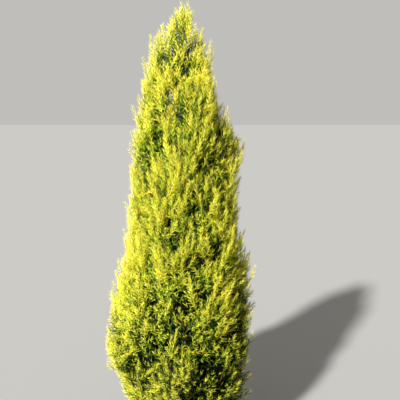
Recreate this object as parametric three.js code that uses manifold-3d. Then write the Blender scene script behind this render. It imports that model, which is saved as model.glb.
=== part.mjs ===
// A golden cypress about two metres tall: a slim cone of upright feathery plumes round one
// trunk that runs from the ground up through the foliage. Millimetres, +Z up. The origin is
// the middle of the flat cut under the trunk, +X is to the right and -Y is towards the viewer.
import * as THREE from "three";
import { mergeVertices } from "three/addons/utils/BufferGeometryUtils.js";
import Module from "manifold-3d";

const wasm = await Module();
wasm.setup();

// The whole tree
const TREE_HEIGHT = 2000;
const TREE_LEAN = 26; // how far the leader stands to the right of the foot
const SEED = 2417;
const GAP = 0.3; // between pieces that meet
const CLEAR = 2; // between a twig or spray and anything that isn't its own mass
const LOWEST = 28; // of any foliage above the ground
const UP = new THREE.Vector3(0, 0, 1);

// The crown's outline: height above the ground, then how far the furthest tips stand from the
// trunk on its left and on its right
const CROWN = [
  [60, 190, 200],
  [220, 255, 285],
  [380, 325, 316],
  [540, 372, 326],
  [720, 350, 340],
  [900, 290, 312],
  [1150, 246, 268],
  [1440, 230, 262],
  [1620, 195, 190],
  [1780, 162, 116],
  [1890, 134, 72],
  [1960, 66, 46],
  [2000, 15, 15],
];

// The trunk, whole from the ground to where the leader's foliage takes over
const TRUNK_TOP = 1615;
const TRUNK_RADIUS = 15.5;
const TRUNK_TOP_RADIUS = 3.4;
const TRUNK_WAVE = 7; // sideways
const FLARE_RADIUS = 12; // added at the ground
const FLARE_HEIGHT = 85;
const FLARE_LOBES = 5;
const FLARE_DEPTH = 0.13; // of the radius, between the lobes
const TRUNK_SIDES = 15;
const TRUNK_STEPS = 16;

// Tiers of plumes: how many stand round the trunk, where their boughs leave it, how high they
// end, and the azimuth of the first one in degrees from +X
const TIERS = [
  { name: "skirt", count: 5, root: 78, tip: 345, turn: 0 },
  { name: "low", count: 5, root: 170, tip: 615, turn: 38 },
  { name: "broad", count: 5, root: 350, tip: 890, turn: 4 },
  { name: "middle", count: 5, root: 585, tip: 1160, turn: 40 },
  { name: "upper", count: 4, root: 840, tip: 1420, turn: 2 },
  { name: "high", count: 3, root: 1090, tip: 1650, turn: 50 },
  { name: "top", count: 2, root: 1340, tip: 1850, turn: 175 },
];
const TURN_JITTER = 9; // degrees
const ROOT_SPREAD = 46; // between the lowest and the highest bough of a tier
const ROOT_JITTER = 4;
const TIP_JITTER = 38;
const REACH = [0.82, 0.94]; // a plume's tip against the crown's radius
const SWAY = 0.12; // sideways bend of a plume, of its reach
const BEND_OUT = 0.7; // of a plume's reach, where its line bends upwards
const BEND_UP = 0.34; // of a plume's rise, where its line bends upwards
const GIRTH = 58; // how far a plume's twigs reach out, and more on a longer plume
const GIRTH_GAIN = 0.26; // of the plume's reach
const LEADER_GIRTH = 92;
const LIMB_RADIUS = [2.6, 6.2]; // where a short and a long limb leave the trunk
const LONGEST_REACH = 335;
const LIMB_TAPER = 0.62; // a bough's radius at its tip against its root

// A bough is the bare part of a plume's line, and its foliage starts where the bough ends
const BOUGH_SHARE = 0.3;
const BOUGH_SIDES = 5;
const BOUGH_STEPS = 3;
const COLLAR = 0.25; // how much a bough swells at the trunk
const COLLAR_SHARE = 0.3; // of the bough's length
const LINE_STEPS = 14; // a plume's line is measured along this many straight parts

// The stem of a mass, which swells into a dense heart
const STEM_SIDES = 6;
const STEM_STEPS = 6;
const STEM_END = 0.84; // of the plume's line
const STEM_TAPER = 0.3;
const HEART_REACH = 100; // the most that a heart stands out from its stem
const HEART_SHARE = [0.5, 0.92]; // of the room that it has in its plume's own space
const HEART_DEPTH = 72; // how far a heart stays below the crown's surface

// The twigs of a mass
const TWIGS = 5;
const TWIG_RADIUS = 2.6;
const GOLDEN_ANGLE = 137.5; // degrees round the stem from one twig to the next
const TURN_PLAY = 0.3; // radians
const SHADED = -0.35; // twigs that point further towards the trunk than this have died back
const OPENING = [54, 32]; // degrees between twig and stem, at the stem's foot and tip
const UPRIGHT = 0.36; // how much more a twig on the outer side follows its stem
const TWIG_BEND = 0.5; // of a twig's length, where it bends upwards
const TWIG_LIFT = { own: 0.7, stem: 0.35, up: 0.35 }; // what a twig's direction becomes there
const SHORTER = [1, 0.88, 0.76, 0.66, 0.56]; // lengths that a twig is tried at, until it fits
const LEADER_FROM = 0.72; // of the stem, where the twig that carries on from it begins
const SLIVER = 0.15; // faces of a join that are thinner than this are merged with the next

// Further twigs reach for the places in the crown's surface that are still open
const PLACE_SPACING = 76; // between the places that are looked at
const PLACE_DEPTH = [4, 26]; // below the surface
const PLACE_OPEN = 60; // from the marks on any other spray
const SPRAY_MARKS = [0.65, 0.85, 1]; // of a twig's length
const REACH_LIMITS = [60, 300]; // of such a twig
const REACH_RISE = 0.5; // the least that it rises, of its length
const REACH_BEND = [0.6, 0.42]; // of its way out and of its rise, where it bends upwards

// The spray at a twig's end, and half of its outline from its root to its tip, as shares of
// its length and half width
const SPRAY_FROM = 0.3; // of a twig's length, where its spray begins
const SPRAY_WIDTH = 0.44; // of the twig's length
const SPRAY_ROLL = 0.6; // radians that a spray's face may turn away from the stem's outer side
const RIB = 0.42; // of the spray, where it is thickest
const RIB_THICKNESS = 0.03; // of the twig's length
const SPRAY_OUTLINE = [
  [0.3, 1],
  [0.43, 0.45],
  [0.66, 0.8],
];

const BARK = { color: 0x6a4b38, roughness: 0.9 };
const FOLIAGE = { color: 0xc6c92c, roughness: 0.75 };

const radians = (degrees) => (degrees * Math.PI) / 180;
const mix = (a, b, share) => a + (b - a) * share;

// Numbers from 0 to 1 that are the same on every run
function seeded(seed) {
  let state = seed;
  const next = () => (state = (state * 48271) % 2147483647) / 2147483647;
  for (let i = 0; i < 3; i++) next();
  return { between: (a, b) => mix(a, b, next()) };
}

// The trunk's centre line leans a little and wavers
function trunkCentre(z) {
  const share = z / TREE_HEIGHT;
  const wave = TRUNK_WAVE * Math.sin(2.6 * Math.PI * share) * share;
  return new THREE.Vector3(TREE_LEAN * share ** 1.4, wave, z);
}

function trunkRadius(z) {
  const share = Math.min(z / TRUNK_TOP, 1);
  const flare = Math.max(0, 1 - z / FLARE_HEIGHT) ** 2;
  return mix(TRUNK_RADIUS, TRUNK_TOP_RADIUS, share ** 0.85) + FLARE_RADIUS * flare;
}

function flareLobes(z, angle) {
  const fade = Math.max(0, 1 - z / (1.6 * FLARE_HEIGHT));
  return 1 + FLARE_DEPTH * fade * Math.cos(FLARE_LOBES * angle + 0.6);
}

// The crown's radius at a height, in a direction given by the cosine of its azimuth
function crownRadius(z, cosine) {
  const rightness = (1 + cosine) / 2;
  const found = CROWN.findIndex(([height]) => height > z);
  const upper = Math.max(1, found < 0 ? CROWN.length - 1 : found);
  const [z0, left0, right0] = CROWN[upper - 1];
  const [z1, left1, right1] = CROWN[upper];
  const share = Math.min(1, Math.max(0, (z - z0) / (z1 - z0)));
  return mix(mix(left0, left1, share), mix(right0, right1, share), rightness);
}

// How deep a point lies under the crown's outer surface
function depthInCrown(point) {
  const centre = trunkCentre(point.z);
  const off = Math.hypot(point.x - centre.x, point.y - centre.y);
  return crownRadius(point.z, (point.x - centre.x) / Math.max(off, 1)) - off;
}

// Two unit vectors square to a direction, one of them level
function squareTo(direction) {
  const side = new THREE.Vector3(-direction.y, direction.x, 0);
  if (side.lengthSq() < 1e-6) side.set(1, 0, 0);
  side.normalize();
  const front = new THREE.Vector3().crossVectors(side, direction).normalize();
  return { side, front };
}

// A cylinder bent along a curve from one share of it to another, with its own taper
function limbGeometry(curve, from, to, radiusAt, sides, steps) {
  const geometry = new THREE.CylinderGeometry(1, 1, 1, sides, steps);
  const place = geometry.getAttribute("position");
  for (let i = 0; i < place.count; i++) {
    const share = place.getY(i) + 0.5;
    const t = mix(from, to, share);
    const { side, front } = squareTo(curve.getTangent(t));
    const centre = curve.getPoint(t);
    const direction = side.multiplyScalar(place.getX(i)).addScaledVector(front, place.getZ(i));
    centre.addScaledVector(direction, radiusAt(share, centre, direction));
    place.setXYZ(i, centre.x, centre.y, centre.z);
  }
  return geometry;
}

function trunkGeometry(extra) {
  const geometry = new THREE.CylinderGeometry(1, 1, 1, TRUNK_SIDES, TRUNK_STEPS);
  const place = geometry.getAttribute("position");
  for (let i = 0; i < place.count; i++) {
    const share = place.getY(i) + 0.5;
    const z = TRUNK_TOP * share ** 1.5; // closer rings over the flare
    const angle = Math.atan2(place.getZ(i), place.getX(i));
    const radius = trunkRadius(z) * flareLobes(z, angle) + extra;
    const centre = trunkCentre(z);
    place.setXYZ(i, centre.x + place.getX(i) * radius, centre.y - place.getZ(i) * radius, z);
  }
  return geometry;
}

// A twig that widens into a spray of needles: a three-sided stalk, then a toothed blade whose
// rib is its thickest place. All of it follows the twig's curve and lies square to its face.
function twigGeometry(curve, face, width) {
  const at = (t, across, over) => {
    const along = curve.getTangent(t);
    const side = new THREE.Vector3().crossVectors(along, face).normalize();
    const normal = new THREE.Vector3().crossVectors(side, along);
    return curve.getPoint(t).addScaledVector(side, across).addScaledVector(normal, over);
  };
  const stalk = (t, radius) => [
    at(t, radius, 0.4 * radius),
    at(t, -radius, 0.4 * radius),
    at(t, 0, -radius),
  ];
  const edge = (hand) =>
    SPRAY_OUTLINE.map(([u, v]) => at(mix(SPRAY_FROM, 1, u), (hand * v * width) / 2, 0));
  const rib = mix(SPRAY_FROM, 1, RIB);
  const swell = (RIB_THICKNESS * curve.getLength()) / 2;
  const [right, left, under] = [3, 4, 5];
  const points = [
    ...stalk(0, TWIG_RADIUS),
    ...stalk(SPRAY_FROM, 0.6 * TWIG_RADIUS),
    ...edge(1),
    at(1, 0, 0),
    ...edge(-1).reverse(),
    at(rib, 0, swell),
    at(rib, 0, -swell),
  ];
  const above = points.length - 2;
  const below = points.length - 1;
  const index = [0, 1, 2];
  for (const [i, j] of [[right, left], [left, under], [under, right]]) {
    index.push(i, j, j - 3);
    index.push(i, j - 3, i - 3);
  }
  const outline = [right];
  for (let i = under + 1; i < above; i++) outline.push(i);
  outline.push(left);
  for (let i = 1; i < outline.length; i++) {
    index.push(outline[i - 1], outline[i], above);
    index.push(outline[i], outline[i - 1], below);
  }
  index.push(left, right, above);
  index.push(under, left, below);
  index.push(right, under, below);
  const geometry = new THREE.BufferGeometry().setFromPoints(points);
  geometry.setIndex(index);
  return geometry;
}

// Closed geometry to a solid for joining and cutting, and back
function solidOf(geometry) {
  const bare = new THREE.BufferGeometry();
  bare.setAttribute("position", geometry.getAttribute("position"));
  bare.setIndex(geometry.index);
  const merged = mergeVertices(bare, 1e-3);
  return new wasm.Manifold(
    new wasm.Mesh({
      numProp: 3,
      vertProperties: merged.getAttribute("position").array,
      triVerts: new Uint32Array(merged.index.array),
    }),
  );
}

function geometryOf(solid) {
  const mesh = solid.getMesh();
  const geometry = new THREE.BufferGeometry();
  geometry.setAttribute("position", new THREE.BufferAttribute(mesh.vertProperties, 3));
  geometry.setIndex(new THREE.BufferAttribute(mesh.triVerts, 1));
  geometry.computeVertexNormals();
  return geometry;
}

// The largest body of a join, without loose scraps
function mainBody(solid) {
  return solid.decompose().reduce((a, b) => (b.volume() > a.volume() ? b : a));
}

// A plume is a bough and the mass of foliage that carries on from its tip. Both follow one
// line, out of the trunk and then up.
function tierPlume(tier, number, rand) {
  const around = radians((360 * number) / tier.count + rand.between(-TURN_JITTER, TURN_JITTER));
  const azimuth = radians(tier.turn) + around;
  const rank = ((2 * number) % tier.count) / (tier.count - 1) - 0.5;
  const root = tier.root + ROOT_SPREAD * rank + rand.between(-ROOT_JITTER, ROOT_JITTER);
  const tip = tier.tip + rand.between(-TIP_JITTER, TIP_JITTER);
  const reach = crownRadius(tip, Math.cos(azimuth)) * rand.between(...REACH);
  const sway = rand.between(-SWAY, SWAY) * reach;
  const out = new THREE.Vector3(Math.cos(azimuth), Math.sin(azimuth), 0);
  const beside = new THREE.Vector3(-out.y, out.x, 0);
  const bend = trunkCentre(mix(root, tip, BEND_UP))
    .addScaledVector(out, reach * BEND_OUT)
    .addScaledVector(beside, sway);
  const end = trunkCentre(tip).addScaledVector(out, reach);
  return {
    bough: `${tier.name}_bough_${number + 1}`,
    mass: `${tier.name}_mass_${number + 1}`,
    curve: new THREE.QuadraticBezierCurve3(trunkCentre(root), bend, end),
    start: BOUGH_SHARE,
    outward: out,
    girth: GIRTH + GIRTH_GAIN * reach,
    radius: mix(...LIMB_RADIUS, reach / LONGEST_REACH),
    rand,
  };
}

// The leader's foliage carries on from the trunk's top, on all sides
function leaderPlume() {
  const heights = [TRUNK_TOP + GAP, (TRUNK_TOP + TREE_HEIGHT) / 2, TREE_HEIGHT];
  return {
    mass: "leader_mass",
    curve: new THREE.QuadraticBezierCurve3(...heights.map(trunkCentre)),
    start: 0,
    outward: new THREE.Vector3(),
    girth: LEADER_GIRTH,
    radius: TRUNK_TOP_RADIUS / LIMB_TAPER,
    rand: seeded(SEED + 1000),
  };
}

const plumes = TIERS.flatMap((tier, level) =>
  Array.from({ length: tier.count }, (_, number) =>
    tierPlume(tier, number, seeded(SEED + 100 * level + number)),
  ),
);
plumes.push(leaderPlume());
for (const plume of plumes) {
  plume.line = plume.curve.getPoints(LINE_STEPS);
  plume.foot = plume.curve.getPoint(plume.start); // where its mass begins
  plume.footAlong = plume.curve.getTangent(plume.start);
}

function distanceToPart(point, a, b) {
  const [x, y, z] = [b.x - a.x, b.y - a.y, b.z - a.z];
  const reach = (point.x - a.x) * x + (point.y - a.y) * y + (point.z - a.z) * z;
  const share = Math.min(1, Math.max(0, reach / (x * x + y * y + z * z)));
  return Math.hypot(
    point.x - a.x - share * x,
    point.y - a.y - share * y,
    point.z - a.z - share * z,
  );
}

function distanceToLine(point, line) {
  let least = Infinity;
  for (let i = 1; i < line.length; i++) {
    least = Math.min(least, distanceToPart(point, line[i - 1], line[i]));
  }
  return least;
}

const limbRadius = (plume, share) => plume.radius * mix(1, LIMB_TAPER, share);

// How far twigs reach out from their stem, at a share of the stem's length
function girthAt(plume, share) {
  const full = 0.34;
  const rising = 1 - (1 - share / full) ** 2;
  const falling = 1 - ((share - full) / (1 - full)) ** 2.2;
  return plume.girth * mix(0.45, 1, share < full ? rising : falling);
}

// How far a point is from the trunk's bark, level with it
function distanceToTrunk(point) {
  if (point.z > TRUNK_TOP + CLEAR) return Infinity;
  const centre = trunkCentre(point.z);
  return Math.hypot(point.x - centre.x, point.y - centre.y) - trunkRadius(point.z);
}

// Whether a point is in the plume's own space: nearer its own line than the trunk or any other
// plume's line, clear of their wood, inside the crown's outline and above the ground
function ownSpace(plume, point) {
  if (point.z < LOWEST || point.z > TREE_HEIGHT || depthInCrown(point) < 0) return false;
  if (point.clone().sub(plume.foot).dot(plume.footAlong) < CLEAR) return false;
  const own = distanceToLine(point, plume.line);
  if (distanceToTrunk(point) < Math.max(own, 2 * CLEAR)) return false;
  return plumes.every((other) => {
    if (other === plume) return true;
    const away = distanceToLine(point, other.line);
    return away > own + 2 * CLEAR && away > (1 + COLLAR) * other.radius + CLEAR;
  });
}

// Twigs leave the stem at turns of the golden angle, and bend up towards its tip
function twigCurve(plume, share, turn, shorter) {
  const t = mix(plume.start, STEM_END, share);
  const origin = plume.curve.getPoint(t);
  const along = plume.curve.getTangent(t);
  const { side, front } = squareTo(along);
  const out = side.multiplyScalar(Math.cos(turn)).addScaledVector(front, Math.sin(turn));
  const outward = Math.max(0, out.dot(plume.outward));
  const opening = radians(mix(...OPENING, share)) * (1 - UPRIGHT * outward);
  const length = (girthAt(plume, share) / Math.sin(opening)) * shorter;
  const start = along.clone().multiplyScalar(Math.cos(opening));
  start.addScaledVector(out, Math.sin(opening));
  const lifted = start
    .clone()
    .multiplyScalar(TWIG_LIFT.own)
    .addScaledVector(along, TWIG_LIFT.stem)
    .addScaledVector(UP, TWIG_LIFT.up)
    .normalize();
  const bend = origin.clone().addScaledVector(start, length * TWIG_BEND);
  const end = bend.clone().addScaledVector(lifted, length * (1 - TWIG_BEND));
  return { curve: new THREE.QuadraticBezierCurve3(origin, bend, end), out };
}

// Whether a twig and its spray stay in the plume's own space, apart from the twig's root
function twigFits(plume, geometry, curve) {
  const place = geometry.getAttribute("position");
  const points = curve.getPoints(5).slice(1);
  for (let i = 0; i < place.count; i++) {
    const point = new THREE.Vector3().fromBufferAttribute(place, i);
    if (point.distanceTo(curve.v0) > 2 * TWIG_RADIUS) points.push(point);
  }
  return points.every((point) => ownSpace(plume, point));
}

// A twig is kept if it fits, and marks where its spray is
function keepTwig(plume, curve, face) {
  const twig = twigGeometry(curve, face, SPRAY_WIDTH * curve.getLength());
  if (!twigFits(plume, twig, curve)) return false;
  plume.twigs.push(twig);
  plume.sprays.push(...SPRAY_MARKS.map((t) => curve.getPoint(t)));
  return true;
}

// It is tried at its full length and then shorter, and skipped if it never fits
function addTwig(plume, share, turn) {
  const roll = plume.rand.between(-SPRAY_ROLL, SPRAY_ROLL);
  for (const shorter of SHORTER) {
    const { curve, out } = twigCurve(plume, share, turn, shorter);
    if (out.dot(plume.outward) < SHADED || depthInCrown(curve.v2) > HEART_DEPTH) return;
    const face = out.applyAxisAngle(curve.getTangent(0.5), roll);
    if (keepTwig(plume, curve, face)) return;
  }
}

// Places spread evenly under the crown's surface
function surfacePlaces(rand) {
  const places = [];
  for (let z = PLACE_SPACING; z < TREE_HEIGHT - PLACE_SPACING; z += PLACE_SPACING) {
    const around = Math.PI * (crownRadius(z, -1) + crownRadius(z, 1));
    const count = Math.max(4, Math.floor(around / PLACE_SPACING));
    for (let i = 0; i < count; i++) {
      const angle = (2 * Math.PI * (i + rand.between(-0.35, 0.35))) / count;
      const height = z + rand.between(-0.4, 0.4) * PLACE_SPACING;
      const off = crownRadius(height, Math.cos(angle)) - rand.between(...PLACE_DEPTH);
      const out = new THREE.Vector3(Math.cos(angle), Math.sin(angle), 0);
      places.push(trunkCentre(height).addScaledVector(out, off));
    }
  }
  return places;
}

// The nearest points of the plumes' lines that a twig could rise from to a place
function rootsBelow(place) {
  const roots = [];
  for (const plume of plumes) {
    for (let i = 1; i < plume.line.length - 1; i++) {
      const origin = plume.line[i];
      if (i / LINE_STEPS < plume.start) continue;
      const way = place.clone().sub(origin);
      const far = way.length();
      if (far < REACH_LIMITS[0] || far > REACH_LIMITS[1] || way.z < REACH_RISE * far) continue;
      roots.push({ plume, origin, way, far });
    }
  }
  return roots.sort((a, b) => a.far - b.far);
}

// A place that no spray is near gets a twig from the nearest stem that it fits
function fillPlace(place, rand) {
  const isTaken = (plume) => plume.sprays.some((spray) => spray.distanceTo(place) < PLACE_OPEN);
  if (plumes.some(isTaken)) return;
  const roll = rand.between(-SPRAY_ROLL, SPRAY_ROLL);
  for (const { plume, origin, way } of rootsBelow(place)) {
    const [out, up] = REACH_BEND;
    const bend = origin.clone().add(new THREE.Vector3(way.x * out, way.y * out, way.z * up));
    const curve = new THREE.QuadraticBezierCurve3(origin, bend, place);
    const along = curve.getTangent(0.5);
    const face = place.clone().sub(trunkCentre(place.z)).normalize();
    face.addScaledVector(along, -face.dot(along)).normalize().applyAxisAngle(along, roll);
    if (keepTwig(plume, curve, face)) return;
  }
}

// How far a heart may stand out from its stem in one direction before it leaves its space
function heartRoom(plume, point, direction) {
  const step = 3;
  let reach = step;
  const probe = new THREE.Vector3();
  while (reach < HEART_REACH) {
    probe.copy(point).addScaledVector(direction, reach + 2 * CLEAR);
    if (depthInCrown(probe) < HEART_DEPTH || !ownSpace(plume, probe)) break;
    reach += step;
  }
  return reach;
}

// The stem from the bough's tip to the plume's tip, swelling into the dense heart of the plume
function stemGeometry(plume) {
  const from = plume.bough ? plume.start + gapAfter(plume.curve, plume.start) : 0;
  const radiusAt = (h, centre, direction) => {
    const thin = limbRadius(plume, 1) * mix(1, STEM_TAPER, h);
    const isMiddle = h > 0.01 && h < 0.99 && direction.lengthSq() > 0.5;
    if (!isMiddle) return thin;
    const fullness = Math.sin(Math.PI * h ** 0.9) ** 0.5;
    const tuft = 0.5 + 0.5 * Math.sin(5 * direction.x + 4 * direction.y + 37 * h);
    const room = mix(...HEART_SHARE, tuft) * heartRoom(plume, centre, direction);
    return Math.max(thin, fullness * room);
  };
  return limbGeometry(plume.curve, from, STEM_END, radiusAt, STEM_SIDES, STEM_STEPS);
}

// The share of a curve that covers the gap between two pieces
function gapAfter(curve, t) {
  const step = 0.001;
  return (GAP * step) / curve.getPoint(t).distanceTo(curve.getPoint(t + step));
}

// The twig that carries on from the stem to the plume's tip
function leadingTwig(plume) {
  const from = mix(plume.start, 1, LEADER_FROM);
  const points = [0, 0.5, 1].map((share) => plume.curve.getPoint(mix(from, 1, share)));
  const curve = new THREE.CatmullRomCurve3(points);
  const { front } = squareTo(curve.getTangent(0.5));
  return twigGeometry(curve, front, SPRAY_WIDTH * curve.getLength());
}

function growTwigs() {
  for (const plume of plumes) {
    plume.twigs = [];
    plume.sprays = [plume.curve.getPoint(1)];
    for (let i = 0; i < TWIGS; i++) {
      const share = mix(0.06, 0.96, (i + plume.rand.between(0.2, 0.8)) / TWIGS);
      const play = plume.rand.between(-TURN_PLAY, TURN_PLAY);
      addTwig(plume, share, i * radians(GOLDEN_ANGLE) + play);
    }
  }
  const rand = seeded(SEED + 2000);
  for (const place of surfacePlaces(rand)) fillPlace(place, rand);
}

function massSolid(plume) {
  const pieces = [stemGeometry(plume), leadingTwig(plume), ...plume.twigs];
  const joined = wasm.Manifold.union(pieces.map(solidOf)).simplify(SLIVER);
  return mainBody(solidOf(geometryOf(joined)));
}

function boughSolid(plume, trunkCutter) {
  const collar = (h) => 1 + COLLAR * Math.max(0, 1 - h / COLLAR_SHARE) ** 2;
  const radiusAt = (h) => limbRadius(plume, h) * collar(h);
  const limb = limbGeometry(plume.curve, 0, plume.start, radiusAt, BOUGH_SIDES, BOUGH_STEPS);
  return mainBody(solidOf(limb).subtract(trunkCutter));
}

function named(name, geometry, finish) {
  const material = new THREE.MeshStandardMaterial({ ...finish, metalness: 0 });
  const mesh = new THREE.Mesh(geometry, material);
  mesh.name = name;
  return mesh;
}

const tree = new THREE.Group();
tree.name = "golden_cypress";
tree.add(named("trunk", trunkGeometry(0), BARK));
const trunkCutter = solidOf(trunkGeometry(GAP));
growTwigs();
for (const plume of plumes) {
  if (plume.bough) tree.add(named(plume.bough, geometryOf(boughSolid(plume, trunkCutter)), BARK));
  tree.add(named(plume.mass, geometryOf(massSolid(plume)), FOLIAGE));
}

export default tree;
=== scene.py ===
# %% [markdown]
# # A golden cypress in feathery leaf
#
# The tree is a slim cone about two metres tall. One trunk runs up through it, thin boughs leave
# the trunk and turn upwards, and each bough carries a plume of lemon-yellow foliage.
#
# The frame already holds the trunk, the boughs and a plain solid for each plume. This lesson
# gives the wood its bark and regrows every plume by the rule that made its solid, down to the
# last side shoots. Real shoots could be placed by hand or by a particle system, but a written
# rule with seeded numbers gives the same tree on every run, and its meshes can be exported.

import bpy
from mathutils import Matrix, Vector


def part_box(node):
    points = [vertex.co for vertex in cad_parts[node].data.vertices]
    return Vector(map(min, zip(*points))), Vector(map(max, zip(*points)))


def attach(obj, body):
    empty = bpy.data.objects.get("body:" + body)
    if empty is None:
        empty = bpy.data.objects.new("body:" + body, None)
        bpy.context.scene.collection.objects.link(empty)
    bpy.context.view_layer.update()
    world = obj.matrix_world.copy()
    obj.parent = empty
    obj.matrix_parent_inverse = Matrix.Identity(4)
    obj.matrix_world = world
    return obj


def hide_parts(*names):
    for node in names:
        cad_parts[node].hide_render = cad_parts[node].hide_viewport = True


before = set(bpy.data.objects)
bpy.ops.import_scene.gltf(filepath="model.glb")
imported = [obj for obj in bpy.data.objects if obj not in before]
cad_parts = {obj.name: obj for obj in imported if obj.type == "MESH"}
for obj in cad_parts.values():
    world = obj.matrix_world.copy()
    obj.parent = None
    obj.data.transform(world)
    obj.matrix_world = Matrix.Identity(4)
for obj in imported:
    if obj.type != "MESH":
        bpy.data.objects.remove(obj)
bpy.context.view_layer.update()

# %% Tools from Python and Blender
import math

import bpy
import numpy as np
from mathutils import Vector

# %% [markdown]
# ## The tree's own measures
#
# These are the driving sizes of the solids, written again in metres, because the foliage has to
# grow from the same lines. The crown's outline is how far the furthest tips stand from the
# trunk, on its left and on its right, at some heights.

# %% Sizes of the whole tree
TREE_HEIGHT = 2.0
TREE_LEAN = 0.026
LEAN_CURVE = 1.4
SEED = 2417
LOWEST = 0.028
UP = np.array([0.0, 0.0, 1.0])
# Each row: a height, and how far the tips reach there on the left and on the right
CROWN = np.array(
    [
        [0.060, 0.190, 0.200],
        [0.220, 0.255, 0.285],
        [0.380, 0.325, 0.316],
        [0.540, 0.372, 0.326],
        [0.720, 0.350, 0.340],
        [0.900, 0.290, 0.312],
        [1.150, 0.246, 0.268],
        [1.440, 0.230, 0.262],
        [1.620, 0.195, 0.190],
        [1.780, 0.162, 0.116],
        [1.890, 0.134, 0.072],
        [1.960, 0.066, 0.046],
        [2.000, 0.015, 0.015],
    ]
)

# %% Sizes of the trunk
TRUNK_TOP = 1.615
TRUNK_RADIUS = 0.0155
TRUNK_TOP_RADIUS = 0.0034
TRUNK_TAPER = 0.85
TRUNK_WAVE = 0.007
WAVE_TURN = 2.6 * np.pi
FLARE_RADIUS = 0.012
FLARE_HEIGHT = 0.085
FLARE_LOBES = 5
FLARE_DEPTH = 0.13

# %% Sizes of the plumes
# Each tier: how many plumes stand round the trunk, where their boughs leave it, how high they
# end, and the azimuth of the first one in degrees from +X
TIERS = [
    ("skirt", 5, 0.078, 0.345, 0),
    ("low", 5, 0.170, 0.615, 38),
    ("broad", 5, 0.350, 0.890, 4),
    ("middle", 5, 0.585, 1.160, 40),
    ("upper", 4, 0.840, 1.420, 2),
    ("high", 3, 1.090, 1.650, 50),
    ("top", 2, 1.340, 1.850, 175),
]
TURN_JITTER = 9
ROOT_SPREAD = 0.046
ROOT_JITTER = 0.004
TIP_JITTER = 0.038
REACH = (0.82, 0.94)
SWAY = 0.12
BEND_OUT = 0.7
BEND_UP = 0.34
GIRTH = 0.058
GIRTH_GAIN = 0.26
LEADER_GIRTH = 0.092
LIMB_RADIUS = (0.0026, 0.0062)
LONGEST_REACH = 0.335
LIMB_TAPER = 0.62
BOUGH_SHARE = 0.3
COLLAR = 0.25
COLLAR_SHARE = 0.3
SEEDS_TO_A_TIER = 100

# %% [markdown]
# ## Lines that the tree grows along
#
# A plume follows one bent line, out of the trunk and then up, and every twig and shoot follows
# a smaller line of the same kind. A quadratic curve has three points: where it starts, where it
# bends and where it ends. All curves of a kind are kept in one array, so a whole generation of
# shoots is worked out in one go, which is what makes more than a hundred thousand quick.

# %% Numbers that are the same on every run
MULTIPLIER = 48271
MODULUS = 2147483647
FIRST_SKIPPED = 3


def seeded(seed):
    """The solids' own random numbers: between(low, high) gives the next one."""
    state = seed

    def between(low, high):
        nonlocal state
        state = state * MULTIPLIER % MODULUS
        return low + (high - low) * state / MODULUS

    for _ in range(FIRST_SKIPPED):
        between(0, 1)
    return between


# %% Small helpers for vectors and shares
TINY = 0.001


def mix(start, end, share):
    return start + (end - start) * share


def unit(vectors):
    return vectors / np.linalg.norm(vectors, axis=-1, keepdims=True)


def dot(a, b):
    return np.sum(a * b, axis=-1)


def square_to(direction):
    """Two unit vectors square to each direction, the first of them level."""
    side = np.stack([-direction[..., 1], direction[..., 0], 0 * direction[..., 2]], axis=-1)
    level = np.linalg.norm(side, axis=-1, keepdims=True)
    side = np.where(level < TINY, [1.0, 0.0, 0.0], side / np.maximum(level, TINY))
    return side, unit(np.cross(side, direction))


# %% Curves of three points
def on_curve(curves, t):
    start, bend, end = curves[..., 0, :], curves[..., 1, :], curves[..., 2, :]
    t = np.asarray(t, float)[..., None]
    return (1 - t) ** 2 * start + 2 * t * (1 - t) * bend + t**2 * end


def heading(curves, t):
    start, bend, end = curves[..., 0, :], curves[..., 1, :], curves[..., 2, :]
    t = np.asarray(t, float)[..., None]
    return unit((1 - t) * (bend - start) + t * (end - bend))


# %% The trunk's line and the crown's outline
def trunk_centre(z):
    share = np.maximum(np.asarray(z, float) / TREE_HEIGHT, 0)
    wave = TRUNK_WAVE * np.sin(WAVE_TURN * share) * share
    return np.stack([TREE_LEAN * share**LEAN_CURVE, wave, share * TREE_HEIGHT], axis=-1)


def trunk_radius(z):
    share = np.minimum(z / TRUNK_TOP, 1)
    flare = np.maximum(0, 1 - z / FLARE_HEIGHT) ** 2
    return mix(TRUNK_RADIUS, TRUNK_TOP_RADIUS, share**TRUNK_TAPER) + FLARE_RADIUS * flare


def crown_radius(z, cosine):
    """The outline's reach at a height, on the side where the azimuth has this cosine."""
    left = np.interp(z, CROWN[:, 0], CROWN[:, 1])
    right = np.interp(z, CROWN[:, 0], CROWN[:, 2])
    return mix(left, right, (1 + cosine) / 2)


def depth_in_crown(points):
    """How deep each point lies under the crown's outer surface."""
    off = (points - trunk_centre(points[..., 2]))[..., :2]
    away = np.linalg.norm(off, axis=-1)
    return crown_radius(points[..., 2], off[..., 0] / np.maximum(away, TINY)) - away


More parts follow.
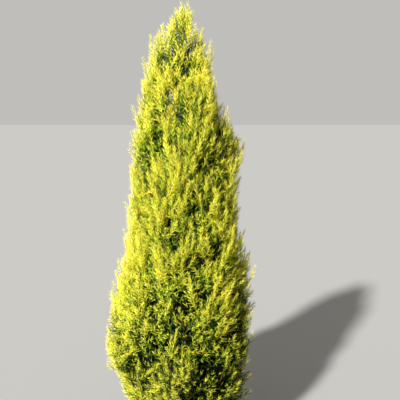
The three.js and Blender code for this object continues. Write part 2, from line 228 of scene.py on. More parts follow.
# %% The lines of the plumes
def tier_plume(level, number):
    """A plume's names and sizes, and its line, from the trunk to the plume's tip."""
    name, count, root, tip, turn = TIERS[level]
    between = seeded(SEED + SEEDS_TO_A_TIER * level + number)
    azimuth = math.radians(turn + 360 * number / count + between(-TURN_JITTER, TURN_JITTER))
    rank = (2 * number % count) / (count - 1) - 0.5
    root = root + ROOT_SPREAD * rank + between(-ROOT_JITTER, ROOT_JITTER)
    tip = tip + between(-TIP_JITTER, TIP_JITTER)
    reach = crown_radius(tip, math.cos(azimuth)) * between(*REACH)
    sway = between(-SWAY, SWAY) * reach
    out = np.array([math.cos(azimuth), math.sin(azimuth), 0])
    beside = np.array([-out[1], out[0], 0])
    bend = trunk_centre(mix(root, tip, BEND_UP)) + out * reach * BEND_OUT + beside * sway
    return {
        "name": f"{name}_{number + 1}",
        "bough": f"{name}_bough_{number + 1}",
        "mass": f"{name}_mass_{number + 1}",
        "curve": np.array([trunk_centre(root), bend, trunk_centre(tip) + out * reach]),
        "start": BOUGH_SHARE,
        "outward": out,
        "girth": GIRTH + GIRTH_GAIN * reach,
        "radius": mix(*LIMB_RADIUS, reach / LONGEST_REACH),
    }


leader = {
    "name": "leader",
    "mass": "leader_mass",
    "curve": trunk_centre(np.array([TRUNK_TOP, (TRUNK_TOP + TREE_HEIGHT) / 2, TREE_HEIGHT])),
    "start": 0,
    "outward": np.zeros(3),
    "girth": LEADER_GIRTH,
    "radius": TRUNK_TOP_RADIUS / LIMB_TAPER,
}
plumes = [tier_plume(level, i) for level, tier in enumerate(TIERS) for i in range(tier[1])]
plumes.append(leader)


# %% Compare the lines with the solids
def tip_off_box(plume):
    """How far the end of a plume's line is outside its solid's box. Below zero is inside."""
    low, high = (np.array(corner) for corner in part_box(plume["mass"]))
    tip = plume["curve"][2]
    return float(np.max(np.maximum(low - tip, tip - high)))


furthest_off = max(tip_off_box(plume) for plume in plumes)
print(len(plumes), "plumes, whose tips are at most this far off their solids:", furthest_off)

# %% [markdown]
# ## A short way to write shader maths
#
# A finish is a small graph of nodes, which reads badly as a list of links. The class wraps a
# socket, so that ordinary Python signs add the Math nodes. Bark is the only finish here that
# varies over a surface. The shoots get plain colours, because each of them is only a few
# pixels wide, and what the eye reads as pattern is the change from shoot to shoot.

# %% The class for sockets
class Value:
    """A socket of a node graph that can be used in sums."""

    def __init__(self, finish, socket):
        self.finish = finish
        self.socket = socket

    def combined(self, operation, other, swapped=False):
        pair = [other, self] if swapped else [self, other]
        return self.finish.add("ShaderNodeMath", {"operation": operation}, {0: pair[0], 1: pair[1]})

    def __add__(self, other):
        return self.combined("ADD", other)

    def __sub__(self, other):
        return self.combined("SUBTRACT", other)

    def __rsub__(self, other):
        return self.combined("SUBTRACT", other, swapped=True)

    def __mul__(self, other):
        return self.combined("MULTIPLY", other)

    __radd__ = __add__
    __rmul__ = __mul__


# %% A finish and its nodes
class Finish:
    """A material with one Principled shader and whatever nodes are added to it."""

    def __init__(self, name, colour, roughness, specular=0.3):
        self.material = bpy.data.materials.new(name)
        self.material.use_nodes = True
        self.tree = self.material.node_tree
        self.shader = self.tree.nodes["Principled BSDF"]
        self.set("Base Color", (*linear(colour), 1))
        self.set("Roughness", roughness)
        self.set("Specular IOR Level", specular)

    def set(self, name, value):
        self.give(self.shader.inputs[name], value)

    def give(self, socket, value):
        if isinstance(value, Value):
            self.tree.links.new(value.socket, socket)
        else:
            socket.default_value = value

    def add(self, kind, settings=None, inputs=None, output=0):
        """A node of this type, its settings first, then the values or links of its sockets."""
        node = self.tree.nodes.new(kind)
        for name, value in (settings or {}).items():
            if name == "stops":
                for stop, (place, colour) in zip(self.stops(node, len(value)), value):
                    stop.position = place
                    stop.color = (*linear(colour), 1)
            else:
                setattr(node, name, value)
        for name, value in (inputs or {}).items():
            self.give(node.inputs[name], value)
        return Value(self, node.outputs[output])

    def stops(self, node, count):
        stops = node.color_ramp.elements
        while len(stops) < count:
            stops.new(0.5)
        return stops


def linear(colour):
    """The shader's own numbers for a colour that is given as 0 to 255 for the screen."""
    shares = np.array(colour) / 255
    curved = ((shares + 0.055) / 1.055) ** 2.4
    return tuple(float(x) for x in np.where(shares > 0.04045, curved, shares / 12.92))


# %% [markdown]
# ## From arrays to pieces
#
# Every piece is a mesh made from an array of points and an array of triangles. Shoots are
# closed shapes of a few faces: a thin tube with a pointed end for an axis, and a slim thorn of
# four faces for a side shoot. Both have volume, so they catch the light from every side, which
# a flat card wouldn't.

# %% Make one piece
def add_piece(name, points, faces, finishes, shade=None, smooth=True):
    """A mesh object at the origin. shade holds, for each face, which of the finishes it has."""
    mesh = bpy.data.meshes.new(name)
    mesh.vertices.add(len(points))
    mesh.vertices.foreach_set("co", np.ascontiguousarray(points, np.float32).ravel())
    mesh.loops.add(3 * len(faces))
    mesh.loops.foreach_set("vertex_index", np.ascontiguousarray(faces, np.int32).ravel())
    mesh.polygons.add(len(faces))
    mesh.polygons.foreach_set("loop_start", np.arange(len(faces), dtype=np.int32) * 3)
    for finish in finishes:
        mesh.materials.append(finish.material)
    if shade is not None:
        mesh.polygons.foreach_set("material_index", np.ascontiguousarray(shade, np.int32))
    mesh.update(calc_edges=True)
    mesh.polygons.foreach_set("use_smooth", np.full(len(faces), smooth))
    piece = bpy.data.objects.new(name, mesh)
    bpy.context.scene.collection.objects.link(piece)
    return piece


# %% Tubes along many curves at once
def tubes(curves, places, radii, sides):
    """Points (curves, points, 3) and faces of one tube, which ends in a point. Each tube has a
    ring at every place along its curve, with the radius given for that curve and place."""
    places = np.asarray(places, float)
    level, _ = square_to(heading(curves, np.full(len(curves), 0.5)))
    rings = []
    for i, t in enumerate(places):
        along = heading(curves, np.full(len(curves), t))
        side = unit(level - along * dot(level, along)[:, None])
        front = np.cross(side, along)
        centre = on_curve(curves, np.full(len(curves), t))
        for angle in np.arange(sides) * 2 * np.pi / sides:
            direction = side * np.cos(angle) + front * np.sin(angle)
            rings.append(centre + direction * radii[:, i, None])
    rings.append(curves[:, 0])
    rings.append(curves[:, 2])
    foot = len(places) * sides
    faces = []
    for k in range(sides):
        n = (k + 1) % sides
        faces.append([foot, k, n])
        for row in range(0, foot - sides, sides):
            faces.append([row + k, row + sides + k, row + sides + n])
            faces.append([row + k, row + sides + n, row + n])
        last = foot - sides
        faces.append([last + k, foot + 1, last + n])
    return np.stack(rings, axis=1), np.array(faces)


# %% Thorns for the side shoots
def thorns(origin, direction, length, width, roll):
    """Closed slim shapes of four faces, each from its origin along its direction to a point."""
    side, front = square_to(direction)
    points = [origin + direction * length[:, None]]
    for k in range(3):
        angle = roll + k * 2 * np.pi / 3
        out = side * np.cos(angle)[:, None] + front * np.sin(angle)[:, None]
        points.append(origin + out * (width / 2)[:, None])
    faces = [[0, 2, 1], [0, 3, 2], [0, 1, 3], [1, 2, 3]]
    return np.stack(points, axis=1), np.array(faces)


def gathered(parts):
    """One list of points and faces from several sets of equal shapes."""
    points, faces, start = [], [], 0
    for shapes, pattern in parts:
        count, size = shapes.shape[:2]
        offsets = start + size * np.arange(count)[:, None, None]
        points.append(shapes.reshape(-1, 3))
        faces.append((pattern[None] + offsets).reshape(-1, 3))
        start += count * size
    return np.concatenate(points), np.concatenate(faces)


# %% [markdown]
# ## The wood
#
# The bark of a young cypress is reddish brown and thin, and splits into long upright strips.
# A bump map alone would leave a smooth edge against the light, so the fissures are cut into
# the mesh, and the shader only adds the finest grain. The noise for them is pulled long along
# the stem and closes round it.

# %% Noise that closes round a stem
def strip_noise(angle, along, strips, length, seed):
    """Smooth noise from -1 to 1, with as many strips round the stem as told."""
    column = np.mod(angle / (2 * np.pi), 1) * strips
    row = along / length
    rows = int(row.max()) + 3
    lattice = np.random.default_rng(seed).uniform(-1, 1, (rows, strips))
    i, j = np.floor(row).astype(int), np.floor(column).astype(int)
    u, v = row - i, column - j
    u, v = u * u * (3 - 2 * u), v * v * (3 - 2 * v)
    j, k = j % strips, (j + 1) % strips
    return mix(mix(lattice[i, j], lattice[i, k], v), mix(lattice[i + 1, j], lattice[i + 1, k], v), u)


# %% Relief of the bark
WARP = 0.5
WARP_STRIPS = 7
WARP_LENGTH = 2.2
FINE_STRIPS = 3
FINE_LENGTH = 0.3
FINE_DEPTH = 0.3
FISSURE_NARROWER = 2.6
FISSURE_EDGE = 1.5
FISSURE_UNEVEN = 0.2


def bark_relief(angle, along, strips, length, seed):
    """From -1 in a fissure to about 0.3 on a strip, for angle and distance along the stem."""
    warp = WARP * strip_noise(angle, along, WARP_STRIPS, WARP_LENGTH * length, seed + 1)
    wide = strip_noise(angle + warp, along, strips, length, seed + 2)
    fine = strip_noise(angle + warp, along, FINE_STRIPS * strips, FINE_LENGTH * length, seed + 3)
    fissure = np.maximum(0, 1 - np.abs(wide) * FISSURE_NARROWER) ** FISSURE_EDGE
    return FINE_DEPTH * fine - fissure * (1 - FISSURE_UNEVEN + FISSURE_UNEVEN * fine)


# %% Bark's finish
FIBRE_SQUEEZE = 0.12
FIBRE_SHARE = 0.7
FIBRE_HEIGHT = 0.0006
FIBRE_GLOSS = 0.25
ROUGHEST_BARK = 0.95
PATCHES_PER_METRE = 14.0
BARK_STOPS = (0.34, 0.52, 0.7)
PALER = 1.25


def bark_finish(name, strip, groove, pitch):
    """Bark from the groove's colour to a paler strip, with fibres about a pitch wide that run
    up the stem."""
    bark = Finish(name, strip, roughness=0.85, specular=0.2)
    place = bark.add("ShaderNodeTexCoord", output="Object")
    squeeze = (1 / pitch, 1 / pitch, FIBRE_SQUEEZE / pitch)
    squeezed = bark.add("ShaderNodeVectorMath", {"operation": "MULTIPLY"}, {0: place, 1: squeeze})
    fine = {"Vector": squeezed, "Detail": 4.0, "Scale": 1.0}
    wide = {"Vector": place, "Detail": 2.0, "Scale": PATCHES_PER_METRE}
    fibre = bark.add("ShaderNodeTexNoise", {}, fine)
    patch = bark.add("ShaderNodeTexNoise", {}, wide)
    tone = fibre * FIBRE_SHARE + patch * (1 - FIBRE_SHARE)
    pale = [min(255, x * PALER) for x in strip]
    ramp = list(zip(BARK_STOPS, (groove, strip, pale)))
    bark.set("Base Color", bark.add("ShaderNodeValToRGB", {"stops": ramp}, {"Fac": tone}))
    bark.set("Roughness", ROUGHEST_BARK - fibre * FIBRE_GLOSS)
    grain = {"Height": fibre, "Strength": 0.5, "Distance": FIBRE_HEIGHT}
    bark.set("Normal", bark.add("ShaderNodeBump", {}, grain))
    return bark


TRUNK_BARK = bark_finish("trunk_bark", strip=(124, 88, 66), groove=(62, 42, 32), pitch=0.0035)
BOUGH_BARK = bark_finish("bough_bark", strip=(134, 96, 66), groove=(84, 58, 40), pitch=0.0022)
print("bark finishes of", len(TRUNK_BARK.tree.nodes), "nodes each")

# %% Solids through rings of points
def lofted(rings):
    """Points and faces of a solid through these rings, with a flat cap at each end."""
    rows, columns = rings.shape[:2]
    here = np.arange(rows * columns).reshape(rows, columns)
    a, b = here[:-1], here[1:]
    across = [np.roll(a, -1, axis=1), np.roll(b, -1, axis=1)]
    faces = [np.stack([a, across[0], across[1]], -1), np.stack([a, across[1], b], -1)]
    faces = [part.reshape(-1, 3) for part in faces]
    middle = rows * columns
    for ring, centre, turned in ((here[0], middle, True), (here[-1], middle + 1, False)):
        pair = [np.roll(ring, -1), ring] if turned else [ring, np.roll(ring, -1)]
        faces.append(np.stack([*pair, np.full(columns, centre)], -1))
    ends = np.stack([rings[0].mean(axis=0), rings[-1].mean(axis=0)])
    return np.concatenate([rings.reshape(-1, 3), ends]), np.concatenate(faces)


# %% The trunk
TRUNK_COLUMNS = 72
TRUNK_ROWS = 330
ROWS_CLOSER_LOW = 1.25
RUNS_TO = 0.9 * TREE_HEIGHT
LEADER_TAPER = 0.25
LOBES_FADE_BY = 1.6 * FLARE_HEIGHT
LOBES_TURN = 0.6
RELIEF_DEPTH = 0.0011
STRIPS = 15
STRIP_LENGTH = 0.05


def leader_radius(z):
    """The radius of the thin run of the trunk that is inside the leader."""
    share = np.clip((z - TRUNK_TOP) / (TREE_HEIGHT - TRUNK_TOP), 0, 1)
    return TRUNK_TOP_RADIUS * mix(1, LEADER_TAPER, share)


def trunk_rings():
    share = np.linspace(0, 1, TRUNK_ROWS)
    angle = np.arange(TRUNK_COLUMNS) * 2 * np.pi / TRUNK_COLUMNS
    z, angle = np.meshgrid(RUNS_TO * share**ROWS_CLOSER_LOW, angle, indexing="ij")
    fade = np.maximum(0, 1 - z / LOBES_FADE_BY)
    lobes = 1 + FLARE_DEPTH * fade * np.cos(FLARE_LOBES * angle + LOBES_TURN)
    stem = np.where(z < TRUNK_TOP, trunk_radius(z), leader_radius(z))
    relief = RELIEF_DEPTH * np.minimum(1, stem / TRUNK_RADIUS)
    radius = stem * lobes + relief * bark_relief(angle, z, STRIPS, STRIP_LENGTH, SEED)
    ring = np.stack([np.cos(angle), np.sin(angle), 0 * z], axis=-1)
    return trunk_centre(z) + ring * radius[..., None]


trunk = add_piece("trunk_with_bark", *lofted(trunk_rings()), [TRUNK_BARK])
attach(trunk, "root")
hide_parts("trunk")
print("trunk", len(trunk.data.polygons), "triangles")

# %% [markdown]
# ## The boughs
#
# A bough leaves the trunk with a small collar and tapers all the way to the tip of its plume,
# where it is as thin as a match. The solids show only its bare part. Here the same limb runs
# on through the foliage, so that the twigs have something to grow from.

# %% A limb from the trunk to its plume's tip
LIMB_COLUMNS = 12
LIMB_ROWS = 46
LIMB_RELIEF = 0.05
LIMB_STRIP_LENGTH = 0.12
TIP_RADIUS = 0.0009
LIMB_END = 0.985


def limb_radius(plume, t):
    """A limb's radius at a share of its whole line."""
    bare = plume["radius"] * mix(1, LIMB_TAPER, np.minimum(t / BOUGH_SHARE, 1))
    leafy = np.clip((t - BOUGH_SHARE) / (1 - BOUGH_SHARE), 0, 1)
    return mix(bare, TIP_RADIUS, leafy)


def fork_radius(fork, t):
    """A fork's radius at a share of its line."""
    return mix(fork["radius"], TIP_RADIUS, t)


def limb_rings(stem, radius_at, columns, rows, seed):
    """Rings of bark along a stem's line, with a collar where it leaves its parent."""
    curve = stem["curve"]
    t = np.linspace(0, LIMB_END, rows)
    angle = np.arange(columns) * 2 * np.pi / columns
    side, front = square_to(heading(curve, t))
    t, angle = np.meshgrid(t, angle, indexing="ij")
    collar = COLLAR * np.maximum(0, 1 - t / (BOUGH_SHARE * COLLAR_SHARE)) ** 2
    relief = LIMB_RELIEF * bark_relief(angle, t, columns // 2, LIMB_STRIP_LENGTH, seed)
    radius = radius_at(stem, t) * (1 + collar + relief)
    direction = side[:, None] * np.cos(angle)[..., None] + front[:, None] * np.sin(angle)[..., None]
    return on_curve(curve, t) + direction * radius[..., None]


def joined(meshes):
    """One list of points and faces from several meshes."""
    starts = np.cumsum([0] + [len(points) for points, _ in meshes])
    faces = [faces + start for (_, faces), start in zip(meshes, starts)]
    return np.concatenate([points for points, _ in meshes]), np.concatenate(faces)


# %% [markdown]
# ## Forks
#
# Seen from the front, a plume is too narrow to close the crown with its neighbours. On the
# real tree each bough forks low down, and its side branches rise beside it. Two forks to a
# bough are enough here. They end a little lower than the bough itself, a third of the way
# round to the next one.

# %% The two side branches of each bough
FORK_FROM = (0.3, 0.46)
FORK_LOWER = (0.1, 0.34)
FORK_TURN = (0.85, 1.15)
FORK_PARTS = 3
FORK_OUT = 0.7
FORK_UP = 0.34
FORK_LEAFY_FROM = 0.12
FORK_GIRTH = 0.8
FORK_RADIUS = 0.55
FORK_COLUMNS = 8
FORK_ROWS = 26
FORK_SEED = SEED + 500


def forks(number, count, rng):
    """The two side branches of one plume, in a tier of this many plumes."""
    plume = plumes[number]
    tip = plume["curve"][2]
    azimuth = math.atan2(plume["outward"][1], plume["outward"][0])
    rise = tip[2] - plume["curve"][0][2]
    found = []
    for hand in (-1, 1):
        t = rng.uniform(*FORK_FROM)
        root = on_curve(plume["curve"], t)
        turned = azimuth + hand * rng.uniform(*FORK_TURN) * 2 * np.pi / (FORK_PARTS * count)
        height = tip[2] - rise * rng.uniform(*FORK_LOWER)
        reach = crown_radius(height, math.cos(turned)) * rng.uniform(*REACH)
        out = np.array([math.cos(turned), math.sin(turned), 0])
        end = trunk_centre(height) + out * reach
        bend = root + (end - root) * np.array([FORK_OUT, FORK_OUT, FORK_UP])
        found.append(
            {
                "plume": number,
                "curve": np.array([root, bend, end]),
                "start": FORK_LEAFY_FROM,
                "outward": out,
                "girth": plume["girth"] * FORK_GIRTH,
                "radius": limb_radius(plume, t) * FORK_RADIUS,
            }
        )
    return found


tier_counts = [tier[1] for tier in TIERS for _ in range(tier[1])]
stems = [{**plume, "plume": number} for number, plume in enumerate(plumes)]
for number, count in enumerate(tier_counts):
    stems += forks(number, count, np.random.default_rng(FORK_SEED + number))
print(len(stems), "stems carry twigs")

# %% The wood of each limb and its forks
SEEDS_TO_A_LIMB = 10
SEEDS_TO_A_FORK = 4
for number, plume in enumerate(plumes[:-1]):
    seed = SEED + SEEDS_TO_A_LIMB * number
    parts = [lofted(limb_rings(plume, limb_radius, LIMB_COLUMNS, LIMB_ROWS, seed))]
    for fork in stems[len(plumes) :]:
        if fork["plume"] == number:
            seed += SEEDS_TO_A_FORK
            parts.append(lofted(limb_rings(fork, fork_radius, FORK_COLUMNS, FORK_ROWS, seed)))
    limb = add_piece(plume["name"] + "_limb", *joined(parts), [BOUGH_BARK])
    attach(limb, "root")
    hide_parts(plume["bough"])
print(len(plumes) - 1, "limbs of", len(limb.data.polygons), "triangles")

# %% [markdown]
# ## One rule for every shoot
#
# A twig leaves its stem at an angle, turned by the golden angle from the last one, and bends
# up half way. The sprays on a twig do the same, and so do the side shoots on a spray. Only
# the angles, the lengths and the spacing change from one generation to the next.

# %% Grow one generation
GOLDEN_ANGLE = math.radians(137.5)
BEND_AT = 0.5


def grow(parents, t, turn, opening, length, lift):
    """One curve for each entry: it leaves its parent at t, on the side that turn gives, and
    bends half way to what lift makes of its own way, its parent's way and straight up. The
    pull upwards has one strength at the foot of the tree and another at its top."""
    origin = on_curve(parents, t)
    along = heading(parents, t)
    side, front = square_to(along)
    out = side * np.cos(turn)[:, None] + front * np.sin(turn)[:, None]
    first = along * np.cos(opening)[:, None] + out * np.sin(opening)[:, None]
    rise = mix(*lift[2:], origin[:, 2] / TREE_HEIGHT)
    lifted = unit(first * lift[0] + along * lift[1] + UP * rise[:, None])
    bend = origin + first * (length * BEND_AT)[:, None]
    end = bend + lifted * (length * (1 - BEND_AT))[:, None]
    return np.stack([origin, bend, end], axis=1), out


def longest_that_fit(make, tries, fits):
    """Each shoot at the first of these lengths that fits, and which shoots found one."""
    chosen = make(tries[0])
    found = fits(chosen)
    for shorter in tries[1:]:
        curves = make(shorter)
        better = fits(curves) & ~found
        chosen[better] = curves[better]
        found |= better
    return chosen, found


def spaced(lengths, spacing, least):
    """For shoots set evenly along their parents: each one's parent, its number there, and how
    far up its parent it stands, from 0 to 1."""
    counts = np.maximum(least, (lengths / spacing).astype(int))
    parent = np.repeat(np.arange(len(counts)), counts)
    order = np.arange(counts.sum()) - np.repeat(np.cumsum(counts) - counts, counts)
    return parent, order, (order + 1) / counts[parent]


# %% [markdown]
# ## Twigs
#
# Twigs fill the space round their stem. Each is tried long first and then shorter, until it
# stays inside the crown's outline and doesn't cross far into the space of the next stem. Those
# that would point back at the trunk are skipped, because they die back in the shade.
#
# The outline isn't a smooth cone. It sinks in between the plumes, and a few hollows are pressed
# into it. Each twig also has its own least depth, so the twigs don't all end at one surface.

# %% Space that belongs to a stem
LINE_STEPS = 14
lines = np.stack([on_curve(s["curve"][None], np.linspace(0, 1, LINE_STEPS + 1)) for s in stems])


def distance_to_lines(points):
    """How far each point is from the line of every stem."""
    a, b = lines[:, :-1], lines[:, 1:]
    part = b - a
    from_start = points[:, None, None] - a
    share = np.clip(dot(from_start, part) / dot(part, part), 0, 1)
    away = np.linalg.norm(from_start - share[..., None] * part, axis=-1)
    return away.min(axis=2)


def own_space(number, points, crossing):
    """Whether points stay in this stem's space: the crossing share of the distance to its line
    has to be less than the distance to any other line."""
    away = distance_to_lines(points)
    own = away[:, number].copy()
    away[:, number] = np.inf
    return crossing * own < away.min(axis=1)


# %% The outline drawn in between the plumes
LOBE_HALF_WIDTH = 0.036
LOBE_HEIGHTS = (0.6, 1.0, 1.6, 2.0)
LOBE_DEPTHS = (0.45, 0.7, 0.8, 1.6)
HOLLOW_WAVES = (7, 4, 2, 19)
HOLLOW_DEPTH = 0.032
FORK_STANDS_BACK = 0.035
stands_back = np.array([FORK_STANDS_BACK if i >= len(plumes) else 0 for i in range(len(stems))])


def hollows(points):
    """Patches where the surface sinks and painted shade darkens the shoots: 1 in a patch's middle,
    0 outside them.
    """
    angle = np.arctan2(points[:, 1], points[:, 0])
    z = points[:, 2]
    around, slant, drift, up = HOLLOW_WAVES
    return np.clip(np.sin(around * angle + slant * z) * np.sin(up * z + drift * angle), 0, 1)


def depth_in_lobes(points):
    """How deep each point lies under a surface that rises to the crown's outline at each
    plume and sinks in between them and in the hollows."""
    away = (distance_to_lines(points) + stands_back).min(axis=1)
    slope = np.interp(points[:, 2], LOBE_HEIGHTS, LOBE_DEPTHS)
    sunk = slope * np.maximum(0, away - LOBE_HALF_WIDTH)
    return depth_in_crown(points) - sunk - HOLLOW_DEPTH * hollows(points)


# %% How wide a plume is along its stem
FULLEST_AT = 0.34
FOOT_GIRTH = 0.45
TIP_ROUNDS = 2.2


def girth_at(stem, share):
    rising = 1 - np.clip(1 - share / FULLEST_AT, 0, 1) ** 2
    falling = 1 - np.clip((share - FULLEST_AT) / (1 - FULLEST_AT), 0, 1) ** TIP_ROUNDS
    return stem["girth"] * mix(FOOT_GIRTH, 1, np.where(share < FULLEST_AT, rising, falling))


# %% Twigs on one stem
TWIG_SPACING = 0.0098
FEWEST_TWIGS = 6
TWIG_TURN_JITTER = 0.3
TWIG_OPENING = np.radians((56, 30))
UPRIGHT = 0.36
SHADED = -0.5
TWIG_LIFT = (0.7, 0.35, 0.12, 0.5)
TWIG_LENGTHS = (0.8, 1.1)
TWIG_TRIES = (1.3, 1.15, 1.0, 0.87, 0.75, 0.64, 0.54)
TWIG_DEPTH = (0.058, -0.006)
MORE_ARE_DEEP = 1.5
TRIED_AT = (0.4, 0.7, 1.0)
CROSSING = 0.45
LEADING_TWIG = (0.6, 0.87)
TWIG_SEED = SEED + 700


def grow_twigs(number, rng):
    """The twigs of one stem that find room, and one that follows the stem's own line."""
    stem = stems[number]
    length = np.linalg.norm(np.diff(lines[number], axis=0), axis=1).sum() * (1 - stem["start"])
    _, order, share = spaced(np.array([length]), TWIG_SPACING, FEWEST_TWIGS)
    count = len(order)
    t = mix(stem["start"], LIMB_END, share)
    turn = order * GOLDEN_ANGLE + rng.uniform(-TWIG_TURN_JITTER, TWIG_TURN_JITTER, count)
    parents = np.repeat(stem["curve"][None], count, axis=0)
    _, out = grow(parents, t, turn, 0 * t, 0 * t, TWIG_LIFT)
    outward = dot(out, stem["outward"])
    opening = mix(*TWIG_OPENING, share) * (1 - UPRIGHT * np.maximum(0, outward))
    length = girth_at(stem, share) / np.sin(opening) * rng.uniform(*TWIG_LENGTHS, count)
    depth = mix(*TWIG_DEPTH, rng.uniform(0, 1, count) ** MORE_ARE_DEEP)

    def make(shorter):
        return grow(parents, t, turn, opening, length * shorter, TWIG_LIFT)[0]

    def fits(curves):
        inside = np.ones(len(curves), bool)
        for place in TRIED_AT:
            points = on_curve(curves, np.full(len(curves), place))
            inside &= depth_in_lobes(points) > depth
            inside &= points[:, 2] > LOWEST
            inside &= own_space(number, points, CROSSING)
        return inside

    curves, found = longest_that_fit(make, TWIG_TRIES, fits)
    leading = on_curve(stem["curve"][None], np.linspace(*LEADING_TWIG, 3))
    return np.concatenate([curves[found & (outward > SHADED)], leading[None]])


# %% [markdown]
# ## Twigs that find the light
#
# Wherever the crown's surface is still open, light falls in, and on the real tree a twig grows
# there. So points are spread over the surface, and each one that has no twig near it gets one,
# from the nearest place on a stem that is far enough below it.

# %% Fill the open places
GLEAM_SPACING = 0.036
GLEAM_DEPTHS = [(0.07, 0.12), (0.01, 0.045)]
GLEAM_HEIGHTS = (0.06, 1.93)
GLEAM_JITTER = 0.35
FEWEST_GLEAMS = 4
TWIG_MARKS = (0.6, 0.8, 1.0)
OPEN_PLACE = 0.038
FILLER_REACH = (0.05, 0.3)
FILLER_RISE = 0.45
FILLER_BEND = (0.6, 0.6, 0.42)
FILLER_SEED = SEED + 900


def gleams(depths, rng):
    """Points spread evenly at these depths under the crown's surface."""
    points = []
    for z in np.arange(*GLEAM_HEIGHTS, GLEAM_SPACING):
        around = np.pi * (crown_radius(z, -1) + crown_radius(z, 1))
        count = max(FEWEST_GLEAMS, int(around / GLEAM_SPACING))
        moved = rng.uniform(-GLEAM_JITTER, GLEAM_JITTER, (2, count))
        angle = (np.arange(count) + moved[0]) * 2 * np.pi / count
        height = z + moved[1] * GLEAM_SPACING
        reach = crown_radius(height, np.cos(angle)) - rng.uniform(*depths, count)
        out = np.stack([np.cos(angle), np.sin(angle), 0 * angle], axis=-1)
        points.append(trunk_centre(height) + out * reach[:, None])
    points = np.concatenate(points)
    return points[depth_in_lobes(points) > depths[0] / 2]


def grow_fillers(twigs, rng):
    """The extra twigs that reach the open places, and the number of each one's stem."""
    places = np.concatenate([gleams(depths, rng) for depths in GLEAM_DEPTHS])
    near = np.concatenate([on_curve(twigs, np.full(len(twigs), t)) for t in TWIG_MARKS])
    from_line = lines[:, 1:].reshape(-1, 3)
    owner = np.repeat(np.arange(len(stems)), LINE_STEPS)
    curves, owners = [], []
    for place in places:
        if np.linalg.norm(near - place, axis=1).min() < OPEN_PLACE:
            continue
        way = place - from_line
        far = np.linalg.norm(way, axis=1)
        fits = (far > FILLER_REACH[0]) & (far < FILLER_REACH[1]) & (way[:, 2] > FILLER_RISE * far)
        if not fits.any():
            continue
        best = np.argmin(np.where(fits, far, np.inf))
        root = from_line[best]
        curves.append([root, root + way[best] * FILLER_BEND, place])
        owners.append(owner[best])
        near = np.concatenate([near, [place]])
    return np.array(curves), np.array(owners)


# %% [markdown]
# ## Sprays and their side shoots
#
# The last twigs are the sprays, each a slim plume of soft side shoots that point forwards.
# They get shorter towards their twig's tip, so that each twig ends in a point. The last spray
# carries the twig on, and may stand proud of the crown's surface. Sprays so deep that nothing is
# seen of them are left out. The real side shoots are about a millimetre thick. Here they are a
# few times that and fewer, so that the crown closes with a hundred and fifty thousand of them.

# %% Sprays on twigs
SPRAY_SPACING = 0.0105
FEWEST_SPRAYS = 3
SPRAY_FROM = 0.14
SPRAY_OPENING = np.radians((42, 18))
SPRAY_OPENING_VARIES = (0.85, 1.15)
SPRAY_LENGTH = (0.12, 0.056)
LENGTH_VARIES = (0.75, 1.2)
LEADING_OPENING = 0.08
LEADING_LENGTH = 0.12
SPRAY_LIFT = (0.6, 0.3, 0.16, 0.62)
SPRAY_TRIES = (1, 0.85, 0.7, 0.58)
PROUD = (-0.01, 0.045)
NOT_PROUD = (0.0, 0.022)
FURTHEST = 0.338
HIDDEN = 0.21


def grow_sprays(twigs, rng):
    """The sprays of these twigs that find room under the crown's surface."""
    size = np.linalg.norm(twigs[:, 2] - twigs[:, 0], axis=1) * (1 - SPRAY_FROM)
    twig, order, share = spaced(size, SPRAY_SPACING, FEWEST_SPRAYS)
    count = len(twig)
    leading = share == 1
    t = mix(SPRAY_FROM, 1, share)
    turn = order * GOLDEN_ANGLE + rng.uniform(0, 2 * np.pi, len(twigs))[twig]
    opening = mix(*SPRAY_OPENING, share) * rng.uniform(*SPRAY_OPENING_VARIES, count)
    opening = np.where(leading, LEADING_OPENING, opening)
    length = mix(*SPRAY_LENGTH, share)
    length = np.where(leading, LEADING_LENGTH, length) * rng.uniform(*LENGTH_VARIES, count)
    ceiling = np.where(leading, -rng.uniform(*PROUD, count), rng.uniform(*NOT_PROUD, count))

    def make(shorter):
        return grow(twigs[twig], t, turn, opening, length * shorter, SPRAY_LIFT)[0]

    def fits(curves):
        ends = curves[:, 2]
        inside = (ends[:, 2] > LOWEST) & (ends[:, 2] < TREE_HEIGHT)
        inside &= np.linalg.norm(ends[:, :2], axis=1) < FURTHEST
        return inside & (depth_in_lobes(ends) > ceiling)

    curves, found = longest_that_fit(make, SPRAY_TRIES, fits)
    shown = depth_in_crown(curves[:, 1]) < HIDDEN
    return curves[found & shown]


# %% Side shoots on sprays
SHOOT_SPACING = 0.0035
FEWEST_SHOOTS = 5
SHOOTS_FROM_TO = (0.06, 0.98)
SHOOT_OPENING = np.radians((46, 24))
SHOOT_OPENING_VARIES = (0.8, 1.15)
SHOOT_LENGTH = (0.036, 0.017)
SHOOT_WIDTH = (0.0032, 0.0023)
INNER_FROM = 0.05
INNER_TO = 0.11
INNER_COARSER = 1.9
COARSER_LENGTH = 0.4


